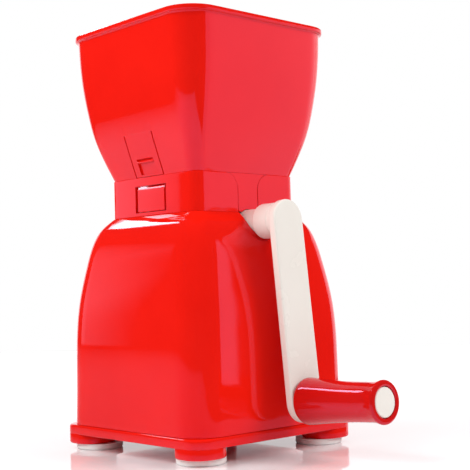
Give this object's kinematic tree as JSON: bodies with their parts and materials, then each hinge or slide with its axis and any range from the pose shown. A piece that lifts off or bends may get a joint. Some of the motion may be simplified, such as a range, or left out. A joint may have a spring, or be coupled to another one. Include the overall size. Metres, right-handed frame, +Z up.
{
  "type": "hand crank meat grinder",
  "caption": "Table-top meat grinder: square flared hopper that snaps into the neck of a bell-shaped housing on a footed tray, with a side crank that turns a mincing screw.",
  "frame": {"origin": "on the axis of the square housing, on the surface that the pads rest on", "axes": "+Z up, +X towards the crank, -Y the front with the visible snap tongue"},
  "size_m": [0.2129, 0.136, 0.2698],
  "materials": {
    "red_plastic": "high gloss moulded red plastic",
    "ivory_plastic": "smooth ivory moulded plastic, satin gloss",
    "white_pad": "soft white plastic pad, matt",
    "natural_nylon": "natural nylon, slightly milky",
    "steel": "ground stainless steel"
  },
  "bodies": {
    "base": {"base_tray": "red_plastic", "foot_pad_1": "white_pad", "foot_pad_2": "white_pad", "foot_pad_3": "white_pad", "foot_pad_4": "white_pad"},
    "housing": {"bell_housing": "red_plastic", "neck_collar": "red_plastic", "barrel_trough": "natural_nylon", "shaft_bush": "natural_nylon", "mincing_plate": "steel"},
    "hopper": {"hopper_shell": "red_plastic", "feed_throat": "natural_nylon"},
    "latch_front": {"latch_tongue_front": "red_plastic"},
    "latch_back": {"latch_tongue_back": "red_plastic"},
    "crank": {"crank_arm": "ivory_plastic", "drive_shaft": "ivory_plastic", "feed_screw": "natural_nylon", "cross_knife": "steel", "thrust_washer": "natural_nylon", "grip_pin": "ivory_plastic", "grip_washer": "natural_nylon", "grip_end_cap": "ivory_plastic"},
    "grip": {"grip_sleeve": "red_plastic"}
  },
  "joints": [
    {"name": "housing_lift", "type": "slide", "parent": "base", "child": "housing", "axis": [0, 0, 1], "range_m": [0, 0.06]},
    {"name": "hopper_lift", "type": "slide", "parent": "housing", "child": "hopper", "axis": [0, 0, 1], "range_m": [0, 0.06], "deforming": ["latch_tongue_front", "latch_tongue_back"]},
    {"name": "latch_front_press", "type": "hinge", "parent": "hopper", "child": "latch_front", "pos_m": [0, -0.0516, 0.2], "axis": [1, 0, 0], "range_deg": [0, 4.5], "stiffness_Nm_per_rad": 2},
    {"name": "latch_back_press", "type": "hinge", "parent": "hopper", "child": "latch_back", "pos_m": [0, 0.0516, 0.2], "axis": [-1, 0, 0], "range_deg": [0, 4.5], "stiffness_Nm_per_rad": 2},
    {"name": "crank_turn", "type": "hinge", "parent": "housing", "child": "crank", "pos_m": [0.065, 0, 0.1422], "axis": [1, 0, 0], "continuous": true},
    {"name": "grip_spin", "type": "hinge", "parent": "crank", "child": "grip", "pos_m": [0.07877, 0.00575, 0.03248], "axis": [0.9988, -0.0026, 0.0488], "continuous": true}
  ]
}
